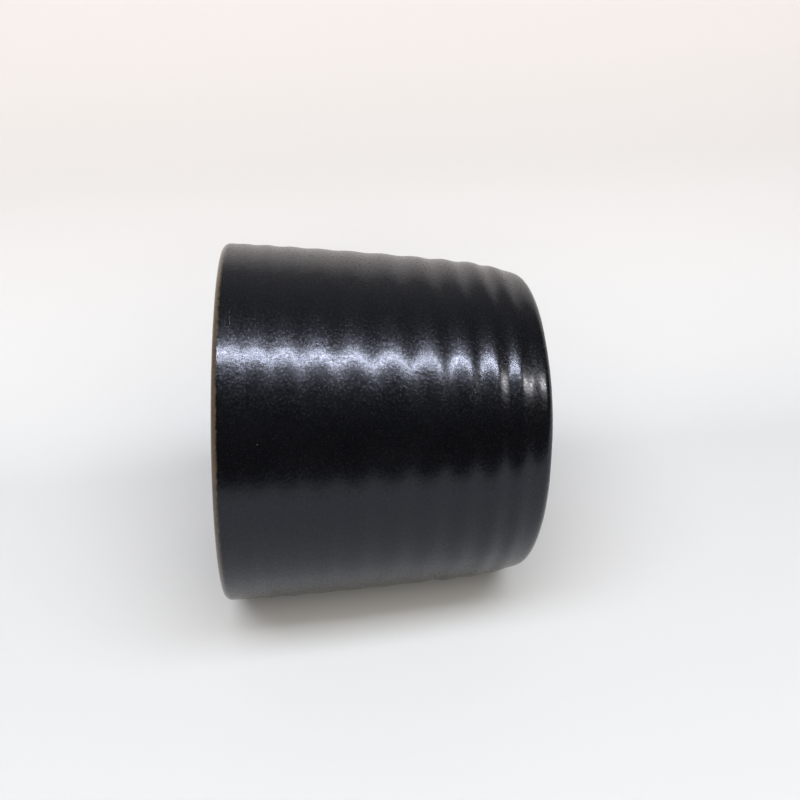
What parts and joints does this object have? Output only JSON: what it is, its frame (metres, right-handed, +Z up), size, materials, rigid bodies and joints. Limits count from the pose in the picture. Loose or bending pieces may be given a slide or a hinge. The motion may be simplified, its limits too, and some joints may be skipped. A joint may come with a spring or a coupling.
{
  "type": "candle jar",
  "caption": "Empty black-glazed stoneware candle jar: a slightly tapered open cup with throwing rings, a rounded brown lip and a bare foot ring.",
  "frame": {"origin": "centre of the foot ring, on the surface that the jar stands on", "axes": "+Z up along the jar's axis, out of the mouth; the jar is round, so +X and +Y are free"},
  "size_m": [0.085, 0.085, 0.071],
  "materials": {
    "stoneware": "matte",
    "black_glaze": "satin",
    "brown_glaze": "satin",
    "lining_glaze": "gloss"
  },
  "bodies": {
    "root": {"clay_body": "stoneware", "outer_glaze": "black_glaze", "lip_glaze": "brown_glaze", "inner_glaze": "lining_glaze", "foot_glaze": "lining_glaze"}
  },
  "joints": []
}
